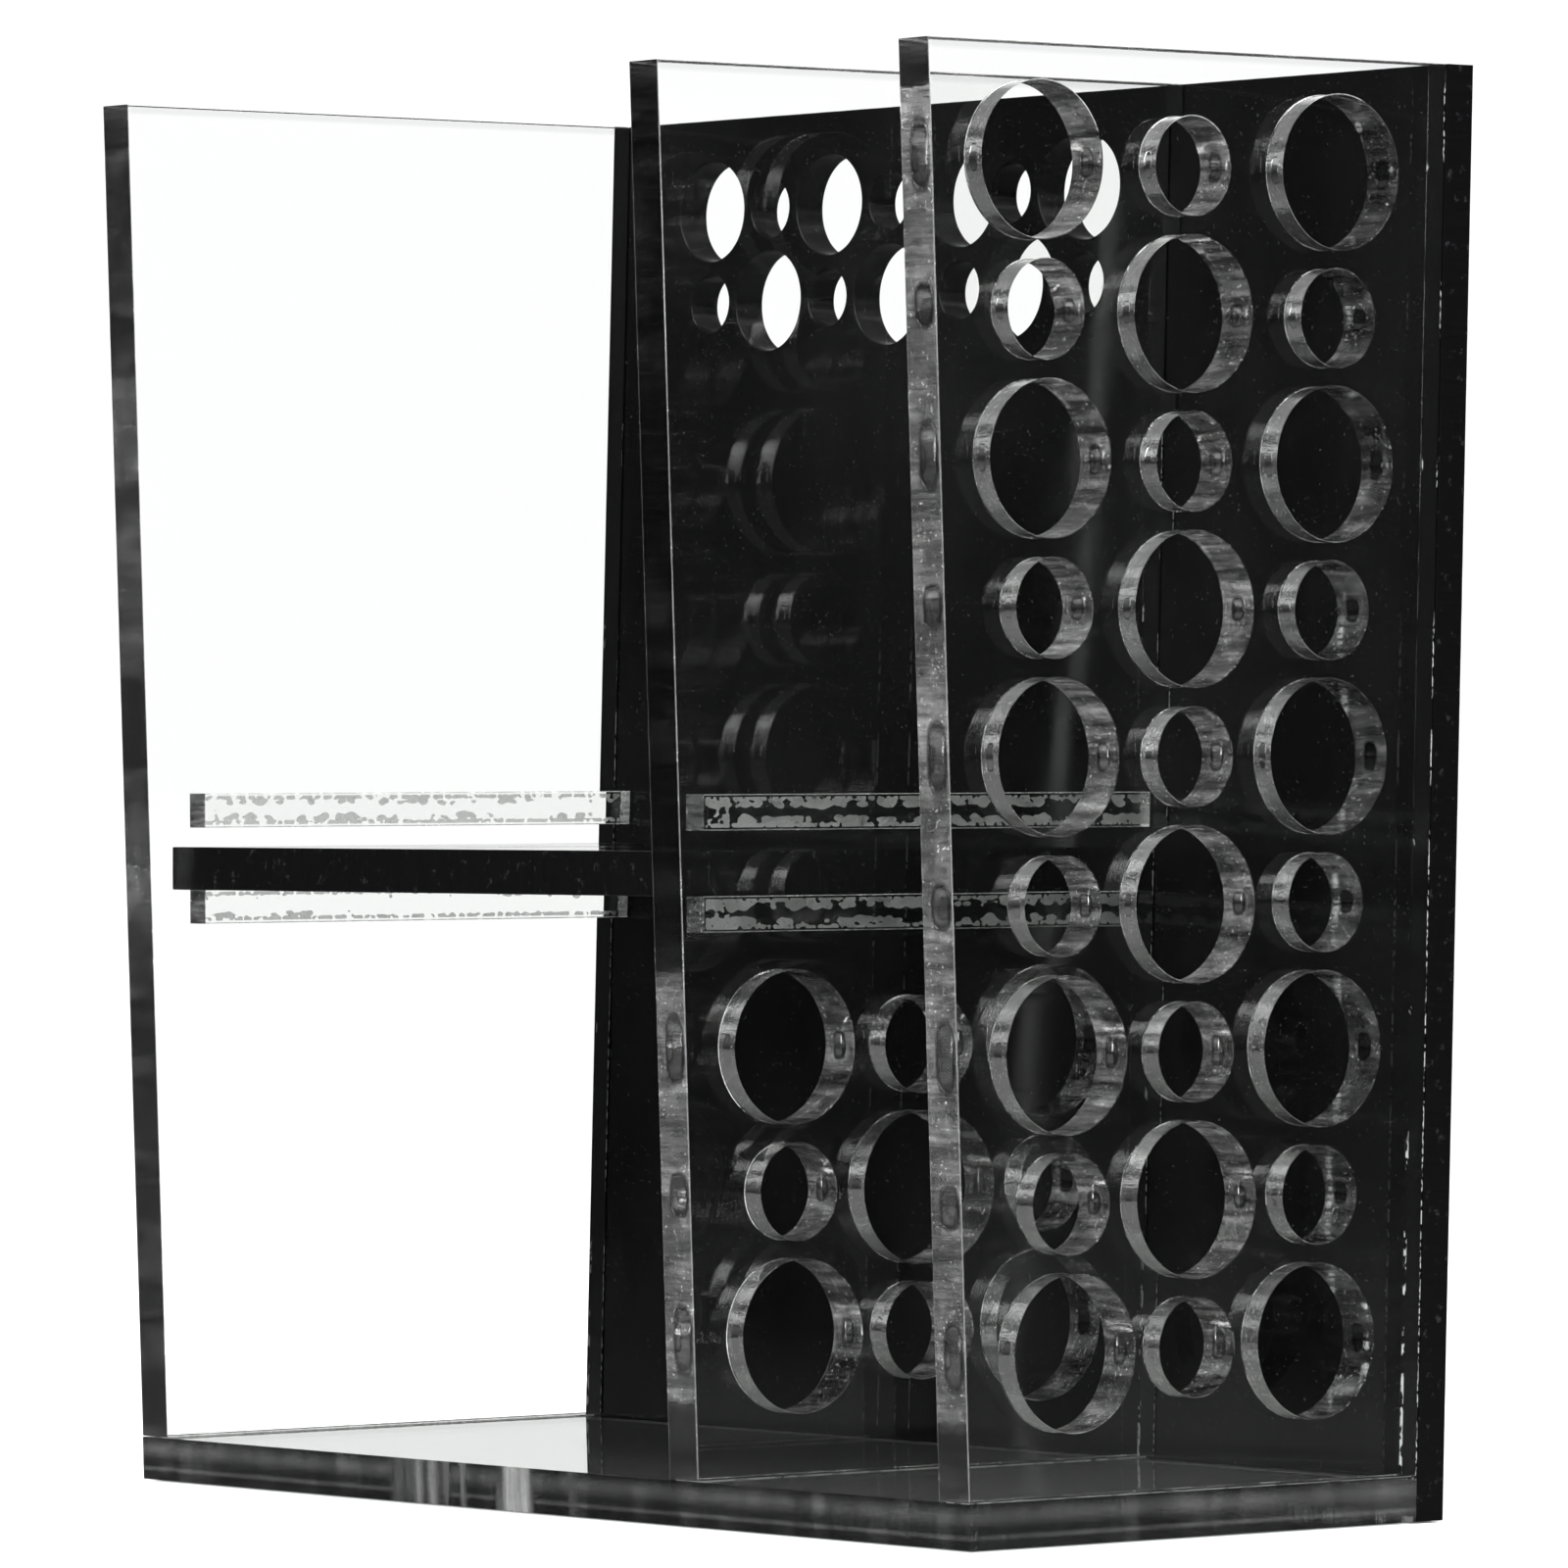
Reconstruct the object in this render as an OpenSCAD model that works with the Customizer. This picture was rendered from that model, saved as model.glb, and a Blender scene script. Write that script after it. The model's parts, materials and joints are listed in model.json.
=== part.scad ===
// Paint rack organizer: a free-standing rack of glued clear sheet with a black back panel,
// holes for paint pots and tools, and a loose shelf that slides on two pairs of rails.
// X runs from the left side panel to the right one, Y from the open front to the back panel,
// and Z up. The origin is the middle of the footprint, on the surface that the rack stands on.

/* [Overall size] */
// Width across the outer faces of the two side panels
rack_w = 300; // [280:5:360]
// Height of the side panels' and back panel's top edges
rack_h = 322; // [318:1:360]
// Front-to-back depth of a side panel at its top edge
depth_top = 150; // [146:1:170]
// Front-to-back depth of the base at the floor
depth_foot = 129; // [127:1:140]

/* [Sheet] */
// Thickness of the clear sheet of the base, side panels and divider
clear_t = 10; // [8:0.5:12]
// Thickness of the black back panel
back_t = 8; // [6:0.5:10]
// Thickness of the film of cured cement in every glued joint
seam_t = 0.2; // [0.1:0.05:0.3]

/* [Bays] */
// Clear width of the bay between the left side panel and the divider
shelf_bay_w = 188; // [180:1:200]

/* [Pot holes] */
// Diameter of the large holes in the right side panel and the divider
pot_large_d = 34; // [28:0.5:35]
// Diameter of the small holes between them
pot_small_d = 21.5; // [14:0.5:23]
// Number of rows of holes in the right side panel
pot_rows = 9; // [3:1:9]
// Number of rows, counted from the bottom, that the divider repeats
divider_rows = 3; // [1:1:3]
// Height from one row to the next
pot_row_pitch = 32; // [31:0.5:32]
// Height of the bottom row's centres
pot_bottom_z = 41; // [36:1:42]
// Distance of the front and rear columns from the panel's sloping edges
pot_edge_margin = 31; // [27:1:32]

/* [Tool holes] */
// Diameter of the large holes near the top of the back panel
tool_large_d = 24; // [18:0.5:25]
// Diameter of the small holes between them
tool_small_d = 14; // [8:0.5:15]
// Number of rows of tool holes
tool_rows = 2; // [1:1:3]
// Number of tool holes in a row
tool_columns = 7; // [3:2:7]
// Distance from one tool hole to the next, along a row and between rows
tool_pitch = 22; // [21.5:0.5:24]
// Depth of the first row of tool holes below the top edge
tool_top_drop = 22; // [18:1:26]

/* [Shelf and rails] */
// Width of a rail, from the panel it is glued to
rail_w = 6; // [4:0.5:8]
// Height of a rail
rail_h = 8; // [6:0.5:9]
// Height of the lower rails' top faces, where the shelf rests
shelf_z = 138.5; // [134:0.5:180]
// Thickness of the shelf
shelf_t = 10; // [8:0.5:12]
// Free height between the shelf and the upper rails
shelf_headroom = 4.5; // [1:0.5:8]
// Free width at each side of the shelf
shelf_side_gap = 1; // [0.5:0.25:2]
// Distance of the rails' front ends behind the side panels' front edge
rail_setback = 11; // [6:1:16]
// Distance of the shelf's front edge behind the side panels' front edge
shelf_setback = 5.5; // [2:0.5:10]

/* [Hidden] */
// Free gap between the back panel and what stops just short of it
back_gap = 0.4;
// Width that the cement stays in from the edges of a joint
seam_inset = 0.6;
// Length that a drill runs past each face of a sheet
drill_over = 1;
// Facets of a hole
hole_fn = 96;

slope = (depth_top - depth_foot) / 2 / rack_h;
lean = atan(slope);
panel_z = clear_t + seam_t;
// Distance along Y that a sheet's own thickness or film takes on the leaning back panel
back_t_y = back_t / cos(lean);
seam_t_y = seam_t / cos(lean);

left_inner_x = clear_t - rack_w / 2;
divider_left_x = left_inner_x + shelf_bay_w;
divider_right_x = divider_left_x + clear_t;
right_inner_x = rack_w / 2 - clear_t;
rail_top_z = shelf_z + shelf_t + shelf_headroom;
shelf_w = shelf_bay_w - 2 * shelf_side_gap;

clear_colour = [0.78, 0.84, 0.87];
black_colour = [0.07, 0.07, 0.08];
cement_colour = [0.86, 0.88, 0.88];

// Half the rack's depth at a height: the front edge is at -half_depth(z) and the back panel's
// front face is at +half_depth(z).
function half_depth(z) = depth_foot / 2 + slope * z;

// True for the large holes of a grid in which large and small ones take turns.
function is_large(row, column) = (row + column) % 2 == 0;

// Height of a row of pot holes, counted from the bottom row, which is row 0.
function row_z(row) = pot_bottom_z + row * pot_row_pitch;

function shelf_front_y() = shelf_setback - half_depth(shelf_z);

// Centres of the three columns of pot holes at a height: the outer two follow the sloping edges.
function column_ys(z) = [pot_edge_margin - half_depth(z), 0, half_depth(z) - pot_edge_margin];

// A solid whose side view is given as [y, z] points, from x_from to x_to.
module side_profile(points, x_from, x_to) {
    translate([x_from, 0, 0])
        rotate([90, 0, 90])
            linear_extrude(height = x_to - x_from)
                polygon(points);
}

// Side view of a sheet that follows the front slope and stops a given distance short of the back.
function sheet_points(z_from, z_to, short) = [
    [-half_depth(z_from), z_from],
    [half_depth(z_from) - short, z_from],
    [half_depth(z_to) - short, z_to],
    [-half_depth(z_to), z_to]
];

// Side view of a band of the back panel's plane, from offset y_from to y_to behind its front face.
function leaning_points(z_from, z_to, y_from, y_to) = [
    [half_depth(z_from) + y_from, z_from],
    [half_depth(z_from) + y_to, z_from],
    [half_depth(z_to) + y_to, z_to],
    [half_depth(z_to) + y_from, z_to]
];

// Holes of the given number of rows, from the bottom, through the sheet that starts at x_from.
module pot_holes(rows, x_from) {
    for (row = [0 : rows - 1])
        for (column = [0 : 2])
            translate([x_from - drill_over, column_ys(row_z(row))[column], row_z(row)])
                rotate([0, 90, 0])
                    cylinder(
                        h = clear_t + 2 * drill_over,
                        d = is_large(row, column) ? pot_large_d : pot_small_d,
                        $fn = hole_fn
                    );
}

// Holes square to the leaning back panel, centred on the shelf bay.
module tool_holes() {
    first_x = left_inner_x + (shelf_bay_w - (tool_columns - 1) * tool_pitch) / 2;
    for (row = [0 : tool_rows - 1])
        for (column = [0 : tool_columns - 1])
            let (z = rack_h - tool_top_drop - row * tool_pitch)
                translate([first_x + column * tool_pitch, half_depth(z), z])
                    rotate([-90 - lean, 0, 0])
                        translate([0, 0, -drill_over])
                            cylinder(
                                h = back_t + 2 * drill_over,
                                d = is_large(row, column) ? tool_large_d : tool_small_d,
                                $fn = hole_fn
                            );
}

module upright_sheet(x_from) {
    side_profile(sheet_points(panel_z, rack_h, seam_t_y), x_from, x_from + clear_t);
}

// A rail whose wide side is against x_from, with its top at z_top and its rear end close to the
// back panel.
module rail(x_from, z_top) {
    front_y = rail_setback - half_depth(shelf_z);
    z_low = z_top - rail_h;
    color(clear_colour)
        side_profile([
            [front_y, z_low],
            [half_depth(z_low) - back_gap, z_low],
            [half_depth(z_top) - back_gap, z_top],
            [front_y, z_top]
        ], x_from, x_from + rail_w);
}

// The film of cement between a rail and the sheet that carries it.
module rail_seam(x_from, z_top) {
    front_y = rail_setback - half_depth(shelf_z) + seam_inset;
    z_low = z_top - rail_h + seam_inset;
    z_high = z_top - seam_inset;
    color(cement_colour)
        side_profile([
            [front_y, z_low],
            [half_depth(z_low) - back_gap - seam_inset, z_low],
            [half_depth(z_high) - back_gap - seam_inset, z_high],
            [front_y, z_high]
        ], x_from, x_from + seam_t);
}

// The film of cement under an upright sheet.
module base_seam(x_from) {
    depth = 2 * (half_depth(clear_t) - seam_inset) - seam_t_y;
    color(cement_colour)
        translate([x_from + seam_inset, seam_inset - half_depth(clear_t), clear_t])
            cube([clear_t - 2 * seam_inset, depth, seam_t]);
}

// The film of cement between an upright sheet's rear edge and the back panel.
module back_seam(x_from) {
    color(cement_colour)
        side_profile(
            leaning_points(panel_z + seam_inset, rack_h - seam_inset, -seam_t_y, 0),
            x_from + seam_inset,
            x_from + clear_t - seam_inset
        );
}

module base_plate() {
    color(clear_colour)
        side_profile(sheet_points(0, clear_t, seam_t_y), -rack_w / 2, rack_w / 2);
}

module back_panel() {
    color(black_colour)
        difference() {
            side_profile(leaning_points(0, rack_h, 0, back_t_y), -rack_w / 2, rack_w / 2);
            tool_holes();
        }
}

module left_side_panel() {
    color(clear_colour)
        upright_sheet(-rack_w / 2);
}

module middle_divider() {
    color(clear_colour)
        difference() {
            upright_sheet(divider_left_x);
            pot_holes(divider_rows, divider_left_x);
        }
}

module right_side_panel() {
    color(clear_colour)
        difference() {
            upright_sheet(right_inner_x);
            pot_holes(pot_rows, right_inner_x);
        }
}

module left_lower_rail() {
    rail(left_inner_x + seam_t, shelf_z);
}

module left_upper_rail() {
    rail(left_inner_x + seam_t, rail_top_z + rail_h);
}

module divider_lower_rail() {
    rail(divider_left_x - seam_t - rail_w, shelf_z);
}

module divider_upper_rail() {
    rail(divider_left_x - seam_t - rail_w, rail_top_z + rail_h);
}

module sliding_shelf() {
    depth = half_depth(shelf_z) - back_gap - shelf_front_y();
    color(black_colour)
        translate([left_inner_x + shelf_side_gap, shelf_front_y(), shelf_z])
            cube([shelf_w, depth, shelf_t]);
}

module left_base_seam() {
    base_seam(-rack_w / 2);
}

module divider_base_seam() {
    base_seam(divider_left_x);
}

module right_base_seam() {
    base_seam(right_inner_x);
}

module base_back_seam() {
    color(cement_colour)
        side_profile(
            leaning_points(seam_inset, clear_t - seam_inset, -seam_t_y, 0),
            seam_inset - rack_w / 2,
            rack_w / 2 - seam_inset
        );
}

module left_back_seam() {
    back_seam(-rack_w / 2);
}

module divider_back_seam() {
    back_seam(divider_left_x);
}

module right_back_seam() {
    back_seam(right_inner_x);
}

module left_lower_rail_seam() {
    rail_seam(left_inner_x, shelf_z);
}

module left_upper_rail_seam() {
    rail_seam(left_inner_x, rail_top_z + rail_h);
}

module divider_lower_rail_seam() {
    rail_seam(divider_left_x - seam_t, shelf_z);
}

module divider_upper_rail_seam() {
    rail_seam(divider_left_x - seam_t, rail_top_z + rail_h);
}

base_plate();
back_panel();
left_side_panel();
middle_divider();
right_side_panel();
left_lower_rail();
left_upper_rail();
divider_lower_rail();
divider_upper_rail();
sliding_shelf();
left_base_seam();
divider_base_seam();
right_base_seam();
base_back_seam();
left_back_seam();
divider_back_seam();
right_back_seam();
left_lower_rail_seam();
left_upper_rail_seam();
divider_lower_rail_seam();
divider_upper_rail_seam();
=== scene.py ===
"""Paint rack organizer: a glued rack of clear sheets with a black back panel and a loose black shelf.

The CAD frame gives every size and place. This script builds each sheet, rail, shelf and film of
cement as a detailed mesh where its CAD node is, and gives it a procedural material.
All lengths are in metres.
"""
import json
import math

import bmesh
import bpy
from mathutils import Matrix, Vector, noise
from mathutils.geometry import delaunay_2d_cdt


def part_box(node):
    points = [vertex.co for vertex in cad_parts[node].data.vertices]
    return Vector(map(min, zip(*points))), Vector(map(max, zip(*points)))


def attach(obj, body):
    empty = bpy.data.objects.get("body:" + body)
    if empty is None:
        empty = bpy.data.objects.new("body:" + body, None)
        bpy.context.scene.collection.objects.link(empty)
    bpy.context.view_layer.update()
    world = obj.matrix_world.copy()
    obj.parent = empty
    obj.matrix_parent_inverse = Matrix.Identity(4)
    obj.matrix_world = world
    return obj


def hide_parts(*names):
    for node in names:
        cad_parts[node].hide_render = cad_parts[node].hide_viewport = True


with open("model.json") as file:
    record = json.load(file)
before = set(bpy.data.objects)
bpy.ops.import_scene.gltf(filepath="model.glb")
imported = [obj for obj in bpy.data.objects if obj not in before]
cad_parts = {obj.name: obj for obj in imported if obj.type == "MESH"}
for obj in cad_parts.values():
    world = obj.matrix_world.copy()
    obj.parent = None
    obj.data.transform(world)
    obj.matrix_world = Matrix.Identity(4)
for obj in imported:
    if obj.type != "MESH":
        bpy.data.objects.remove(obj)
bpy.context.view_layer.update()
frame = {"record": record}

MM = 0.001

# ---------------------------------------------------------------------------------------------
# Sizes, from the frame
# ---------------------------------------------------------------------------------------------
BASE_LOW, BASE_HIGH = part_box("base_plate")
SIDE_LOW, SIDE_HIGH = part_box("left_side_panel")
_, BACK_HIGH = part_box("back_panel")

# The clear sheets are deeper at the top. Their front and rear edges slope by SLOPE, as the back
# panel does.
SLOPE = (BASE_LOW.y - SIDE_LOW.y) / (SIDE_HIGH.z - BASE_HIGH.z)
LEAN = math.atan(SLOPE)
SHEET_T = BASE_HIGH.z
JOINT_GAP = SIDE_LOW.z - BASE_HIGH.z


def half_depth(z):
    """Distance of the sloping front edge, and of the back panel's front face, from the middle."""
    return -SIDE_LOW.y - SLOPE * (SIDE_HIGH.z - z)


BACK_T_Y = BACK_HIGH.y - half_depth(BACK_HIGH.z)


def bores(prefix):
    """Centre, axis, radius and length of each bore mount whose name starts with prefix."""
    return [
        (Vector(m["pos_m"]), Vector(m["axis"]), m["dims"]["r_mm"] * MM, m["dims"]["length_mm"] * MM)
        for m in frame["record"]["mounts"]
        if m["kind"] == "bore" and m["name"].startswith(prefix)
    ]


# The rows of pot holes: the lowest row's height and the distance from row to row.
POT_HEIGHTS = sorted({round(centre.z, 5) for centre, _, _, _ in bores("pot_hole")})
POT_BOTTOM = POT_HEIGHTS[0]
POT_PITCH = POT_HEIGHTS[1] - POT_HEIGHTS[0]


# ---------------------------------------------------------------------------------------------
# Camera, studio and lights
# ---------------------------------------------------------------------------------------------
CAMERA_AZIMUTH = math.radians(50.67)
CAMERA_ELEVATION = math.radians(0.17)
CAMERA_ROLL = math.radians(-0.18)
CAMERA_DISTANCE = 2.3804
CAMERA_LENS = 240.0
CAMERA_AIM = Vector((0.0038, 0.0046, 0.163))


def camera_axes():
    """The camera's right, up and backward directions, with its small roll."""
    sin_a, cos_a = math.sin(CAMERA_AZIMUTH), math.cos(CAMERA_AZIMUTH)
    sin_e, cos_e = math.sin(CAMERA_ELEVATION), math.cos(CAMERA_ELEVATION)
    back = Vector((sin_a * cos_e, -cos_a * cos_e, sin_e))
    right = Vector((cos_a, sin_a, 0))
    up = back.cross(right)
    sin_r, cos_r = math.sin(CAMERA_ROLL), math.cos(CAMERA_ROLL)
    return cos_r * right + sin_r * up, cos_r * up - sin_r * right, back


def make_camera():
    right, up, back = camera_axes()
    data = bpy.data.cameras.new("photo_camera")
    data.lens = CAMERA_LENS
    data.sensor_width = 36.0
    data.clip_start = 0.1
    data.clip_end = 50.0
    camera = bpy.data.objects.new("photo_camera", data)
    bpy.context.scene.collection.objects.link(camera)
    turn = Matrix((right, up, back)).transposed().to_4x4()
    camera.matrix_world = Matrix.Translation(CAMERA_AIM + CAMERA_DISTANCE * back) @ turn
    bpy.context.scene.camera = camera


class Nodes:
    """A short way to write a node tree."""

    def __init__(self, tree):
        self.tree = tree
        tree.nodes.clear()

    def add(self, kind, inputs=None, **settings):
        """A node of this kind, with its inputs set to numbers or linked to sockets."""
        node = self.tree.nodes.new(kind)
        for key, value in settings.items():
            setattr(node, key, value)
        for key, value in (inputs or {}).items():
            if isinstance(value, bpy.types.NodeSocket):
                self.tree.links.new(value, node.inputs[key])
            else:
                node.inputs[key].default_value = value
        return node

    def ramp(self, value, low, high, out_low=0.0, out_high=1.0):
        """value mapped from low..high to out_low..out_high, clamped."""
        inputs = {
            "Value": value,
            "From Min": low,
            "From Max": high,
            "To Min": out_low,
            "To Max": out_high,
        }
        return self.add("ShaderNodeMapRange", inputs, clamp=True).outputs["Result"]

    def math(self, operation, *values):
        """The result of a maths operation on values, each a number or a socket."""
        node = self.add("ShaderNodeMath", operation=operation)
        for socket, value in zip(node.inputs, values):
            if isinstance(value, bpy.types.NodeSocket):
                self.tree.links.new(value, socket)
            else:
                socket.default_value = value
        return node.outputs[0]

    def colours(self, share, low, high):
        """A colour from low to high."""
        node = self.add("ShaderNodeMix", {0: share, 6: low, 7: high}, data_type="RGBA")
        return node.outputs[2]

    def place(self):
        """The object coordinates' outputs X, Y and Z, in metres."""
        coordinates = self.add("ShaderNodeTexCoord").outputs["Object"]
        return self.add("ShaderNodeSeparateXYZ", {0: coordinates}).outputs

    def stripe(self, value, low, high, soft):
        """1 between low and high, falling to 0 over the width soft inside each border."""
        return self.math("MULTIPLY", self.ramp(value, low, low + soft), self.ramp(value, high, high - soft))

    def noise(self, scale, detail=2.0, roughness=0.5, stretch=(1, 1, 1)):
        """Noise in object coordinates; stretch multiplies the frequency along each axis."""
        coordinates = self.add("ShaderNodeTexCoord").outputs["Object"]
        mapping = self.add("ShaderNodeMapping", {"Vector": coordinates, "Scale": stretch})
        mapped = mapping.outputs["Vector"]
        inputs = {"Vector": mapped, "Scale": scale, "Detail": detail, "Roughness": roughness}
        return self.add("ShaderNodeTexNoise", inputs).outputs["Fac"]


# Brightness of the white backdrop, of the dim room in front of the rack at eye level, and of the
# ceiling and the table top round it. About 16 degrees above and below eye level the room has a
# band that is paler by PALE_BAND, and next to it one that is darker by the share DARK_BAND.
BACKDROP = 1.1
ROOM = 0.03
CEILING = 0.2
PALE_BAND = 0.3
DARK_BAND = 0.85

# How pale the floor is in the open, under the base plate where a shadow is painted, and in mirror
# reflections
FLOOR_PALE = 0.94
FLOOR_PAINTED_SHADOW = 0.14
FLOOR_IN_MIRRORS = 0.1
FLOOR_GLOW = 0.12


def grey(level):
    return (level, level, level, 1)


def make_world():
    """White for the camera and through clear sheet. Mirror reflections see the studio as it is:
    a narrow white backdrop behind the rack, in a room that is dim at eye level."""
    world = bpy.data.worlds.new("studio")
    bpy.context.scene.world = world
    world.use_nodes = True
    n = Nodes(world.node_tree)
    _, _, back = camera_axes()
    direction = n.add("ShaderNodeTexCoord").outputs["Generated"]
    facing = n.add("ShaderNodeVectorMath", {0: direction, 1: tuple(-back)}, operation="DOT_PRODUCT")
    backdrop = n.ramp(facing.outputs["Value"], 0.8, 0.96, 0.0, BACKDROP)
    height = n.add("ShaderNodeSeparateXYZ", {0: direction}).outputs["Z"]
    level = n.math("ABSOLUTE", height)
    room = n.ramp(level, 0.06, 0.45, ROOM, CEILING)
    pale = n.math("MULTIPLY", n.ramp(level, 0.22, 0.24), n.ramp(level, 0.34, 0.32, 0.0, PALE_BAND))
    dark = n.math("MULTIPLY", n.ramp(level, 0.34, 0.36), n.ramp(level, 0.52, 0.48, 0.0, DARK_BAND))
    room = n.math("MULTIPLY", n.math("ADD", room, pale), n.math("SUBTRACT", 1.0, dark))
    studio = n.math("MAXIMUM", backdrop, room)
    mirrored = n.math("MINIMUM", n.add("ShaderNodeLightPath").outputs["Glossy Depth"], 1.0)
    mix = n.add("ShaderNodeMix", {"Factor": mirrored, "A": BACKDROP, "B": studio}, data_type="FLOAT")
    strength = mix.outputs["Result"]
    background = n.add("ShaderNodeBackground", {"Color": grey(1), "Strength": strength})
    n.add("ShaderNodeOutputWorld", {"Surface": background.outputs[0]})


def make_floor():
    """A pale floor that fades into the backdrop, has a painted shadow under the base plate, and is dim in
    mirror reflections."""
    size, drop = 20.0, 0.4 * MM
    mesh = bpy.data.meshes.new("studio_floor")
    corners = [(-size, -size), (size, -size), (size, size), (-size, size)]
    mesh.from_pydata([(x, y, -drop) for x, y in corners], [], [(0, 1, 2, 3)])
    floor = bpy.data.objects.new("studio_floor", mesh)
    bpy.context.scene.collection.objects.link(floor)
    material = bpy.data.materials.new("studio_floor")
    material.use_nodes = True
    n = Nodes(material.node_tree)
    place = n.place()
    past_x = n.math("SUBTRACT", n.math("ABSOLUTE", place["X"]), BASE_HIGH.x)
    past_y = n.math("SUBTRACT", n.math("ABSOLUTE", place["Y"]), BASE_HIGH.y)
    # Painted shadow: the floor is darker under the base plate's footprint, fading out just past its edges.
    open_floor = n.ramp(n.math("MAXIMUM", past_x, past_y), -3 * MM, 1 * MM)
    colour = n.colours(open_floor, grey(FLOOR_PAINTED_SHADOW), grey(FLOOR_PALE))
    pale = n.add("ShaderNodeBsdfDiffuse", {"Color": colour})
    glow = n.add("ShaderNodeEmission", {"Color": colour, "Strength": FLOOR_GLOW})
    lit = n.add("ShaderNodeAddShader", {0: pale.outputs[0], 1: glow.outputs[0]})
    dim = n.add("ShaderNodeBsdfDiffuse", {"Color": grey(FLOOR_IN_MIRRORS)})
    mirrored = n.math("MINIMUM", n.add("ShaderNodeLightPath").outputs["Glossy Depth"], 1.0)
    mix = n.add("ShaderNodeMixShader", {0: mirrored, 1: lit.outputs[0], 2: dim.outputs[0]})
    n.add("ShaderNodeOutputMaterial", {"Surface": mix.outputs[0]})
    mesh.materials.append(material)


def make_softbox(name, place, target, width, height, watts):
    """A soft rectangular lamp at place that faces target."""
    data = bpy.data.lights.new(name, "AREA")
    data.shape = "RECTANGLE"
    data.size = width
    data.size_y = height
    data.energy = watts
    light = bpy.data.objects.new(name, data)
    bpy.context.scene.collection.objects.link(light)
    light.location = place
    light.rotation_euler = (Vector(target) - Vector(place)).to_track_quat("-Z", "Y").to_euler()


def make_lights():
    middle = (0, 0, 0.16)
    make_softbox("softbox_top", (0.1, -0.2, 1.5), middle, 1.2, 1.2, 26)
    make_softbox("softbox_front", (-0.35, -1.5, 0.9), middle, 0.9, 0.6, 8)
    make_softbox("softbox_right", (1.5, -0.5, 0.7), middle, 0.5, 0.9, 6)
    make_softbox("softbox_rear", (0.2, 1.6, 1.0), middle, 1.2, 0.8, 9)


# ---------------------------------------------------------------------------------------------
# Materials
# ---------------------------------------------------------------------------------------------
ACRYLIC_IOR = 1.49


def new_material(name):
    material = bpy.data.materials.new(name)
    material.use_nodes = True
    return material, Nodes(material.node_tree)


def surface_output(n, shader, lets_light_through=False):
    """Joins shader to the output. Clear pieces let lamps through instead of casting dark shadows."""
    if lets_light_through:
        clear = n.add("ShaderNodeBsdfTransparent", {"Color": (0.9, 0.91, 0.9, 1)})
        shadow = n.add("ShaderNodeLightPath").outputs["Is Shadow Ray"]
        mix = n.add("ShaderNodeMixShader", {0: shadow, 1: shader.outputs[0], 2: clear.outputs[0]})
        n.add("ShaderNodeOutputMaterial", {"Surface": mix.outputs[0]})
    else:
        n.add("ShaderNodeOutputMaterial", {"Surface": shader.outputs[0]})


def polished_clear():
    """The sheet's own face: cast acrylic with a few hairline scratches and smears. It is slightly grey
    along the top edge."""
    material, n = new_material("polished_clear")
    hairlines = n.ramp(n.noise(500, 3, 0.6, (1, 0.06, 0.3)), 0.66, 0.74)
    smears = n.ramp(n.noise(35, 3, 0.6), 0.5, 0.8, 0.0, 0.03)
    roughness = n.math("ADD", smears, n.math("MULTIPLY", hairlines, 0.06))
    top_grey_band = n.ramp(n.place()["Z"], SIDE_HIGH.z - 2.0 * MM, SIDE_HIGH.z - 1.6 * MM)
    shader = n.add("ShaderNodeBsdfPrincipled", {
        "Base Color": n.colours(top_grey_band, (0.975, 0.985, 0.978, 1), (0.86, 0.86, 0.87, 1)),
        "Roughness": roughness,
        "IOR": ACRYLIC_IOR,
        "Transmission Weight": 1.0,
    })
    surface_output(n, shader, lets_light_through=True)
    return material


def frosted_between(n, low, high):
    """1 between two heights, 0 outside them, with a ragged border."""
    ragged = n.math("MULTIPLY_ADD", n.noise(300, 2, 0.6), 3 * MM, n.place()["Z"])
    return n.stripe(ragged, low, high, 1.5 * MM)


def frosted_bands(n, bands):
    """Soft bands of frosting, each (middle height, half width, share), on a slightly frosted edge."""
    height = n.place()["Z"]
    least = 0.12
    total = least
    for middle, half, share in bands:
        off = n.math("ABSOLUTE", n.math("SUBTRACT", height, middle))
        total = n.math("MAXIMUM", total, n.ramp(off, half, 0.6 * half, least, share))
    return total


def hole_windows(n, middle, half_width, large, small):
    """Oval windows at each row of holes, where the cut stays clear, and rings of painted shade round them.
    middle is their place in X, and large and small their half heights, which take turns."""
    place = n.place()
    steps = n.math("DIVIDE", n.math("SUBTRACT", place["Z"], POT_BOTTOM), POT_PITCH)
    row = n.math("ROUND", steps)
    off_row = n.math("MULTIPLY", n.math("SUBTRACT", steps, row), POT_PITCH)
    odd_row = n.math("ABSOLUTE", n.math("MODULO", row, 2.0))
    half_height = n.ramp(odd_row, 0.0, 1.0, large, small)
    up = n.math("POWER", n.math("ABSOLUTE", n.math("DIVIDE", off_row, half_height)), 3.0)
    aside = n.math("DIVIDE", n.math("SUBTRACT", place["X"], middle), half_width)
    across = n.math("POWER", n.math("ABSOLUTE", aside), 3.0)
    uneven = n.ramp(n.noise(500, 2, 0.6), 0.2, 0.8, -0.25, 0.25)
    out = n.math("ADD", n.math("ADD", up, across), uneven)
    ring = n.math("MULTIPLY", n.ramp(out, 0.3, 0.6), n.ramp(out, 1.7, 1.3))
    return n.ramp(out, 1.15, 0.85), ring


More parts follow.
